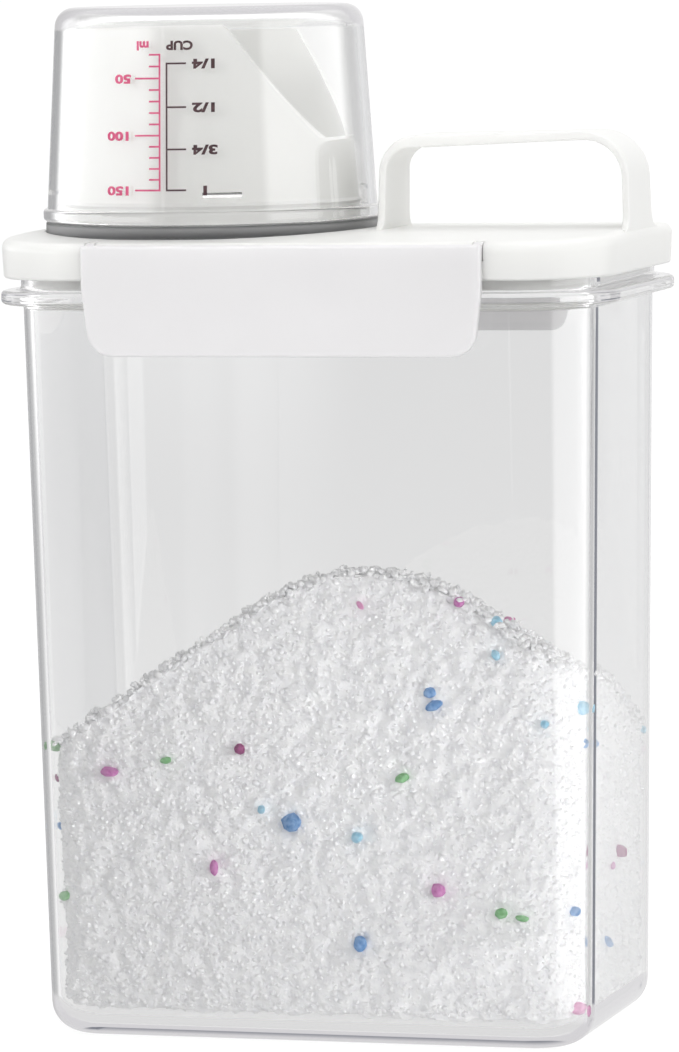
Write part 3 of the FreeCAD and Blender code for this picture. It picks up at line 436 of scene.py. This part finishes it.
SPECK_COLOURS = {
    "magenta": ((0.54, 0.18, 0.44, 1), (0.66, 0.30, 0.56, 1)),
    "plum": ((0.24, 0.05, 0.15, 1), (0.36, 0.10, 0.24, 1)),
    "pink": ((0.70, 0.30, 0.52, 1), (0.78, 0.42, 0.62, 1)),
    "blue": ((0.10, 0.25, 0.52, 1), (0.26, 0.42, 0.68, 1)),
    "sky": ((0.32, 0.60, 0.76, 1), (0.46, 0.70, 0.84, 1)),
    "green": ((0.18, 0.42, 0.18, 1), (0.32, 0.56, 0.32, 1)),
}

# Specks that lie against the front wall: place along X and height, and size, in millimetres.
FRONT_SPECKS = {
    "magenta": [(-47, 63, 3.4), (-22, 41, 3.0), (65, 64, 2.4), (32, 37, 3.0), (65, 22, 2.8)],
    "plum": [(-15, 69, 2.6)],
    "pink": [(15, 103, 1.7)],
    "blue": [(-3, 52, 4.2), (31, 83, 3.4), (32, 80, 3.2), (13, 24, 3.2), (63, 32, 2.0), (66, 32, 2.0)],
    "sky": [(-10, 55, 1.8), (13, 49, 2.2), (47, 92, 1.9), (58, 76, 2.0)],
    "green": [(-33, 66, 2.2), (24, 63, 3.2), (47, 32, 2.8), (52, 31, 2.6), (-60, 33, 2.4)],
}
SCATTERED_SPECKS = 46
SCATTER_SPACING = 8 * MM
SPECK_SIZES = (1.7, 3.2)
SPECK_SINK = 0.42  # how deep a speck's middle lies, as a share of its width
FRONTWARD = -0.6  # a normal that points further forward than this lies on the front


def make_specks(solid, random):
    """Larger coloured grains: some at chosen places in front, the rest scattered over the other sides."""
    tree = BVHTree.FromPolygons([vertex.co for vertex in solid.vertices],
                                [polygon.vertices for polygon in solid.polygons])
    places = {colour: [] for colour in SPECK_COLOURS}
    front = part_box("tank")[0][1] - MM
    for colour, specks in FRONT_SPECKS.items():
        for across, height, width in specks:
            start = Vector((across * MM, front, height * MM))
            hit, normal, _, _ = tree.ray_cast(start, Vector((0, 1, 0)))
            if hit is not None:
                places[colour].append((hit - normal * SPECK_SINK * width * MM, width * MM / 2))
    points, normals = surface_samples(solid, SCATTER_SPACING, random)
    spare = [index for index in range(len(points))
             if normals[index][1] > FRONTWARD and normals[index][2] > UNDERSIDE]
    colours = list(SPECK_COLOURS)
    for number, index in enumerate(random.permutation(spare)[:SCATTERED_SPECKS]):
        width = random.uniform(*SPECK_SIZES) * MM
        centre = Vector(points[index]) - Vector(normals[index]) * SPECK_SINK * width
        places[colours[number % len(colours)]].append((centre, width / 2))
    pieces = []
    for colour, (first, second) in SPECK_COLOURS.items():
        centres = numpy.array([tuple(centre) for centre, _ in places[colour]])
        radii = numpy.array([radius for _, radius in places[colour]])
        mesh = lump_mesh("specks_" + colour, centres, radii, random, 2, 0.1)
        material = grain_material("speck_" + colour, first, second, 900.0)
        pieces.append(add_piece("specks_" + colour, mesh, material, "dispenser"))
    return pieces


make_powder()


# --- scales printed on the measuring cup: millilitres in red, parts of a cup in black ---

CUP_END_WALL = 2.4 * MM
CUP_RIM_STEP = 1.0 * MM
CUP_RIM_HEIGHT = 3.0 * MM
CUP_LEAN = 2.8 * MM
SCALE_WALL = 2.8 * MM  # wall that the printed scale allows for; it sets how far apart the marks are
FILL_STEP = 0.05 * MM
PRINT_LIFT = 0.04 * MM
PRINT_STEP = 1.0 * MM
PRINT_BOLD = 0.045  # how far a letter's outline is widened, as a share of its size
LINE_WIDTH = 0.42 * MM
FULL_CUP = 150
FIRST_MARK = 30
MARK_STEP = 10
LABEL_STEP = 50
NUMBER_STRETCH = 1.6
HEADING_STRETCH = 1.15

cup_low, cup_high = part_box("measuring_cup")
cup_middle = (cup_low[0] + cup_high[0]) / 2
cup_shoulder = cup_low[2] + CUP_RIM_HEIGHT
cup_mouth_radius = (cup_high[0] - cup_low[0]) / 2 - CUP_RIM_STEP


def cup_radius(height):
    """Outer radius of the cup's drafted wall at a height."""
    return cup_mouth_radius - CUP_LEAN * (height - cup_shoulder) / (cup_high[2] - cup_shoulder)


def fill_height(millilitres):
    """Height of a liquid's surface in the cup, which stands here on its mouth, so the scale runs down."""
    wanted = millilitres * 1e-6
    height = cup_high[2] - CUP_END_WALL
    held = 0.0
    while held < wanted:
        height -= FILL_STEP
        held += math.pi * (cup_radius(height) - SCALE_WALL) ** 2 * FILL_STEP
    return height


def on_cup(along, height):
    """Point on the cup's front, given the distance round the wall from its middle line."""
    radius = cup_radius(height) + PRINT_LIFT
    turn = along / radius
    return cup_middle + radius * math.sin(turn), -radius * math.cos(turn), height


def add_bar(shell, left, right, bottom, top):
    """Flat bar wrapped round the cup."""
    columns = max(1, math.ceil((right - left) / PRINT_STEP))
    lower = []
    upper = []
    for column in range(columns + 1):
        along = left + (right - left) * column / columns
        lower.append(shell.verts.new(on_cup(along, bottom)))
        upper.append(shell.verts.new(on_cup(along, top)))
    for column in range(columns):
        shell.faces.new((lower[column], lower[column + 1], upper[column + 1], upper[column]))


def add_text(shell, body, text_size, stretch, along, height, align="LEFT"):
    """Letters wrapped round the cup, upside down as the cup stands; along is where the text starts."""
    curve = bpy.data.curves.new("print", "FONT")
    curve.body = body
    curve.size = text_size
    curve.align_x = align
    curve.align_y = "CENTER"
    curve.offset = PRINT_BOLD * text_size
    curve.resolution_u = 3
    carrier = bpy.data.objects.new("print", curve)
    bpy.context.scene.collection.objects.link(carrier)
    bpy.context.view_layer.update()
    flat = bpy.data.meshes.new_from_object(carrier.evaluated_get(bpy.context.evaluated_depsgraph_get()))
    corners = [shell.verts.new(on_cup(along - stretch * vertex.co.x, height - vertex.co.y))
               for vertex in flat.vertices]
    for polygon in flat.polygons:
        shell.faces.new([corners[index] for index in polygon.vertices])
    bpy.data.objects.remove(carrier)
    bpy.data.curves.remove(curve)
    bpy.data.meshes.remove(flat)


def print_piece(name, shell, material):
    """Turns a flat print's faces outwards and makes it a piece on the cup."""
    bmesh.ops.recalc_face_normals(shell, faces=shell.faces)
    for face in shell.faces:
        middle = face.calc_center_median()
        outward = Vector((middle.x - cup_middle, middle.y, 0))
        if face.normal.dot(outward) < 0:
            face.normal_flip()
    mesh = bpy.data.meshes.new(name)
    shell.to_mesh(mesh)
    shell.free()
    add_piece(name, mesh, material, "cup")


ML_LINE = -0.5 * MM
CUP_LINE = 1.2 * MM
SHORT_TICK = 2.6 * MM
LONG_TICK = 6.2 * MM
CUP_TICK = 4.6 * MM
NUMBER_GAP = 1.0 * MM
NUMBER_SIZE = 2.75 * MM
PART_SIZE = 2.9 * MM
HEADING_SIZE = 2.8 * MM
HEADING_RISE = 2.2 * MM
ML_HEADING = 2.6 * MM
CUP_HEADING = 6.2 * MM
PART_MIDDLE = 4.4 * MM


def make_ml_scale():
    """Red scale in millilitres: a mark every 10, a long one with its number every 50."""
    red = printed_ink("red_ink", (0.55, 0.06, 0.16, 1), (0.66, 0.12, 0.24, 1))
    shell = bmesh.new()
    half = LINE_WIDTH / 2
    top = fill_height(FIRST_MARK)
    add_bar(shell, ML_LINE - half, ML_LINE + half, fill_height(FULL_CUP) - half, top + half)
    for volume in range(FIRST_MARK, FULL_CUP + 1, MARK_STEP):
        height = fill_height(volume)
        length = SHORT_TICK if volume % LABEL_STEP else LONG_TICK
        add_bar(shell, ML_LINE - length, ML_LINE, height - half, height + half)
        if volume % LABEL_STEP == 0:
            start = ML_LINE - LONG_TICK - NUMBER_GAP
            add_text(shell, str(volume), NUMBER_SIZE, NUMBER_STRETCH, start, height)
    add_text(shell, "ml", HEADING_SIZE, HEADING_STRETCH, ML_LINE - ML_HEADING, top + HEADING_RISE)
    print_piece("print_millilitres", shell, red)


def make_cup_scale():
    """Black scale in parts of a cup."""
    black = printed_ink("black_ink", (0.045, 0.02, 0.025, 1), (0.09, 0.045, 0.05, 1))
    shell = bmesh.new()
    half = LINE_WIDTH / 2
    labels = {0.25: "1/4", 0.5: "1/2", 0.75: "3/4", 1.0: "1"}
    add_bar(shell, CUP_LINE - half, CUP_LINE + half, fill_height(FULL_CUP) - half,
            fill_height(FULL_CUP / 4) + half)
    for share, label in labels.items():
        height = fill_height(FULL_CUP * share)
        add_bar(shell, CUP_LINE, CUP_LINE + CUP_TICK, height - half, height + half)
        middle = CUP_LINE + CUP_TICK + PART_MIDDLE
        add_text(shell, label, PART_SIZE, NUMBER_STRETCH, middle, height, "CENTER")
    top = fill_height(FIRST_MARK)
    add_text(shell, "CUP", HEADING_SIZE, HEADING_STRETCH, CUP_LINE + CUP_HEADING, top + HEADING_RISE)
    print_piece("print_cups", shell, black)


make_ml_scale()
make_cup_scale()


# --- floor, world, lamps and camera ---

AMBIENT = (0.66, 0.88)  # brightness of the surroundings from -X and from +X
SCATTERED = (0.71, 0.94)  # the same for light that has already met a matt surface
SIDE_WIDTH = 0.7
SKY_WHITE = 1.04
SEE_THROUGH = 0.81
EDGE_DARK = (0.14, 0.15, 0.19, 1)
EDGE_PALE = (0.66, 0.65, 0.67, 1)
STUDIO_DARK = 0.50
REAR_PANEL = (180, 15, 35, 0.9)
STEEP_TONE = 0.72
CEILING = 1.2
FLOOR_RADIUS = 60.0
FLOOR_DROP = 0.02 * MM
FLOOR_GLOW = 0.93
FLOOR_WHITE = 1.12
FLOOR_PAPER = 0.9
FLOOR_GLOW_SHARE = 0.8

# Studio panels seen in reflections: azimuth, half widths where it is full and where it ends, brightness
# low down and higher up, and the slopes of the mirrored direction at which these are reached.
RIGHT_PANEL = (95, 33, 43, 2.2, 2.4, -0.12, 0.02)
LEFT_PANEL = (-74, 38, 57, 1.0, 3.0, -0.12, 0.02)
FRONT_STRIP = (-17.7, 0.25, 1.5, 0.5, 1.4, -0.13, -0.09)


def mixed(owner, factor, first, second):
    """Colour mix of two colours, each an output socket or a constant."""
    node = owner.node_tree.nodes.new("ShaderNodeMixRGB")
    link(owner, factor, node.inputs["Fac"])
    for socket, value in ((node.inputs["Color1"], first), (node.inputs["Color2"], second)):
        if isinstance(value, tuple):
            socket.default_value = value
        else:
            link(owner, value, socket)
    return node.outputs["Color"]


def grey(level):
    """Neutral colour."""
    return (level, level, level, 1)


def panel(world, heading, azimuth, narrow, wide):
    """Share, from 0 to 1, of a tall soft panel that stands at an azimuth, from the front towards +X."""
    facing = add_node(world, "ShaderNodeVectorMath")
    facing.operation = "DOT_PRODUCT"
    turn = math.radians(azimuth)
    facing.inputs[1].default_value = (math.sin(turn), -math.cos(turn), 0)
    link(world, heading, facing.inputs[0])
    ends = math.cos(math.radians(wide)), math.cos(math.radians(narrow))
    return ramped(world, facing.outputs["Value"], *ends)


def make_world():
    """Even pale surroundings; reflections in clear plastic see a studio with two tall panels."""
    world = bpy.data.worlds.new("studio")
    bpy.context.scene.world = world
    world.use_nodes = True
    world.node_tree.nodes.clear()
    path = add_node(world, "ShaderNodeLightPath")
    place = add_node(world, "ShaderNodeTexCoord")
    parts = add_node(world, "ShaderNodeSeparateXYZ")
    link(world, place.outputs["Generated"], parts.inputs["Vector"])
    height = parts.outputs["Z"]
    level = add_node(world, "ShaderNodeCombineXYZ")
    link(world, parts.outputs["X"], level.inputs["X"])
    link(world, parts.outputs["Y"], level.inputs["Y"])
    flat = add_node(world, "ShaderNodeVectorMath")
    flat.operation = "NORMALIZE"
    link(world, level.outputs["Vector"], flat.inputs[0])
    heading = flat.outputs["Vector"]
    steepness = add_math(world, "ABSOLUTE", height, 0)
    azimuth, narrow, wide, brightness = REAR_PANEL
    studio = mixed(world, panel(world, heading, azimuth, narrow, wide), grey(STUDIO_DARK), grey(brightness))
    for azimuth, narrow, wide, low, high, lower, upper in (RIGHT_PANEL, LEFT_PANEL, FRONT_STRIP):
        brightness = ramped(world, height, lower, upper, low, high)
        studio = mixed(world, panel(world, heading, azimuth, narrow, wide), studio, brightness)
    studio = mixed(world, ramped(world, steepness, 0.25, 0.5), studio, grey(STEEP_TONE))
    studio = mixed(world, ramped(world, height, 0.4, 0.65), studio, grey(CEILING))
    edge = mixed(world, ramped(world, steepness, 0.12, 0.35), EDGE_DARK, EDGE_PALE)
    reflected = add_math(world, "MINIMUM", path.outputs["Glossy Depth"], 1)
    deep = trapped(world, path)
    scattered = add_math(world, "MINIMUM", path.outputs["Diffuse Depth"], 1)
    side = ramped(world, parts.outputs["X"], -SIDE_WIDTH, SIDE_WIDTH)
    plain = mixed(world, side, grey(AMBIENT[0]), grey(AMBIENT[1]))
    light = mixed(world, path.outputs["Is Transmission Ray"], plain, grey(SEE_THROUGH))
    light = mixed(world, reflected, light, studio)
    light = mixed(world, deep, light, edge)
    light = mixed(world, scattered, light, mixed(world, side, grey(SCATTERED[0]), grey(SCATTERED[1])))
    light = mixed(world, path.outputs["Is Camera Ray"], light, grey(SKY_WHITE))
    sky = add_node(world, "ShaderNodeBackground")
    output = add_node(world, "ShaderNodeOutputWorld")
    link(world, light, sky.inputs["Color"])
    link(world, sky.outputs["Background"], output.inputs["Surface"])


def make_floor():
    """Pale floor that looks white, keeps the object's shadow and lets mirrored light pass to the studio."""
    floor_mesh = bpy.data.meshes.new("floor")
    disc = bmesh.new()
    bmesh.ops.create_circle(disc, cap_ends=True, segments=96, radius=FLOOR_RADIUS)
    disc.to_mesh(floor_mesh)
    disc.free()
    floor = bpy.data.objects.new("floor", floor_mesh)
    bpy.context.scene.collection.objects.link(floor)
    floor.location.z = cad_box[0][2] - FLOOR_DROP
    material = new_material("studio_floor")
    material.cycles.emission_sampling = "NONE"
    path = add_node(material, "ShaderNodeLightPath")
    reflected = add_math(material, "MINIMUM", path.outputs["Glossy Depth"], 1)
    scattered = add_math(material, "MINIMUM", path.outputs["Diffuse Depth"], 1)
    seen = add_math(material, "SUBTRACT", 1, scattered)
    tone = mixed(material, path.outputs["Is Camera Ray"], grey(SEE_THROUGH), grey(FLOOR_WHITE))
    tone = mixed(material, seen, grey(FLOOR_GLOW), tone)
    paper = add_node(material, "ShaderNodeBsdfDiffuse", Color=grey(FLOOR_PAPER))
    glow = add_node(material, "ShaderNodeEmission")
    lit = add_node(material, "ShaderNodeMixShader", Fac=FLOOR_GLOW_SHARE)
    gone = add_node(material, "ShaderNodeBsdfTransparent")
    whole = add_node(material, "ShaderNodeMixShader")
    output = add_node(material, "ShaderNodeOutputMaterial")
    link(material, tone, glow.inputs["Color"])
    link(material, paper.outputs["BSDF"], lit.inputs[1])
    link(material, glow.outputs["Emission"], lit.inputs[2])
    link(material, add_math(material, "MULTIPLY", reflected, seen), whole.inputs["Fac"])
    link(material, lit.outputs["Shader"], whole.inputs[1])
    link(material, gone.outputs["BSDF"], whole.inputs[2])
    link(material, whole.outputs["Shader"], output.inputs["Surface"])
    floor_mesh.materials.append(material)


def add_softbox(name, place, aim, width, height, power, spread=180):
    """Area lamp that shines at its aim; plastics mirror the studio's panels and not the lamps."""
    lamp = bpy.data.lights.new(name, "AREA")
    lamp.shape = "RECTANGLE"
    lamp.size = width
    lamp.size_y = height
    lamp.energy = power
    lamp.spread = math.radians(spread)
    box = bpy.data.objects.new(name, lamp)
    bpy.context.scene.collection.objects.link(box)
    box.location = place
    direction = Vector(aim) - Vector(place)
    box.rotation_euler = direction.to_track_quat("-Z", "Y").to_euler()
    box.visible_glossy = False
    box.visible_transmission = False


def make_lamps():
    """Broad lamps for the whole object, and narrow ones that bring out the powder's grain and the cup."""
    middle = (0, 0, 0.12)
    add_softbox("key_right", (0.50, -0.38, 0.34), (0.03, 0, 0.10), 0.3, 0.3, 0.16)
    add_softbox("low_right", (0.38, -0.23, 0.12), (-0.03, -0.05, 0.065), 0.07, 0.07, 0.025, 32)
    add_softbox("upper_front", (-0.10, -0.60, 0.36), (-0.01, 0, 0.225), 0.12, 0.12, 0.016, 22)
    add_softbox("near_right", (0.26, -0.34, 0.16), (0.07, -0.04, 0.065), 0.10, 0.10, 0.016, 15)
    add_softbox("fill_left", (-1.1, -0.6, 0.6), middle, 0.6, 0.9, 0.3)
    add_softbox("top", (0.0, 0.2, 1.3), middle, 0.9, 0.9, 4.4)


VIEW_AIM = (-1.1 * MM, 0.0, 117.5 * MM)
VIEW_DISTANCE = 1495.0 * MM
VIEW_AZIMUTH = 16.43
VIEW_ELEVATION = 5.35
VIEW_ROLL = 1.0
VIEW_LENS = 216.5


def make_camera():
    """Camera on a sphere about its aim; azimuth turns it towards +X from the front."""
    azimuth = math.radians(VIEW_AZIMUTH)
    elevation = math.radians(VIEW_ELEVATION)
    roll = math.radians(VIEW_ROLL)
    back = Vector((math.sin(azimuth) * math.cos(elevation), -math.cos(azimuth) * math.cos(elevation),
                   math.sin(elevation)))
    level_right = (-back).cross(Vector((0, 0, 1))).normalized()
    level_up = level_right.cross(-back)
    right = math.cos(roll) * level_right - math.sin(roll) * level_up
    up = math.sin(roll) * level_right + math.cos(roll) * level_up
    lens = bpy.data.cameras.new("camera")
    lens.lens = VIEW_LENS
    lens.sensor_width = 36.0
    lens.clip_start = 0.05
    lens.clip_end = 200.0
    camera = bpy.data.objects.new("camera", lens)
    bpy.context.scene.collection.objects.link(camera)
    turn = Matrix((right, up, back)).transposed()
    camera.matrix_world = Matrix.Translation(Vector(VIEW_AIM) + back * VIEW_DISTANCE) @ turn.to_4x4()
    bpy.context.scene.camera = camera


make_floor()
make_world()
make_lamps()
make_camera()
bpy.context.scene.view_settings.view_transform = "Standard"
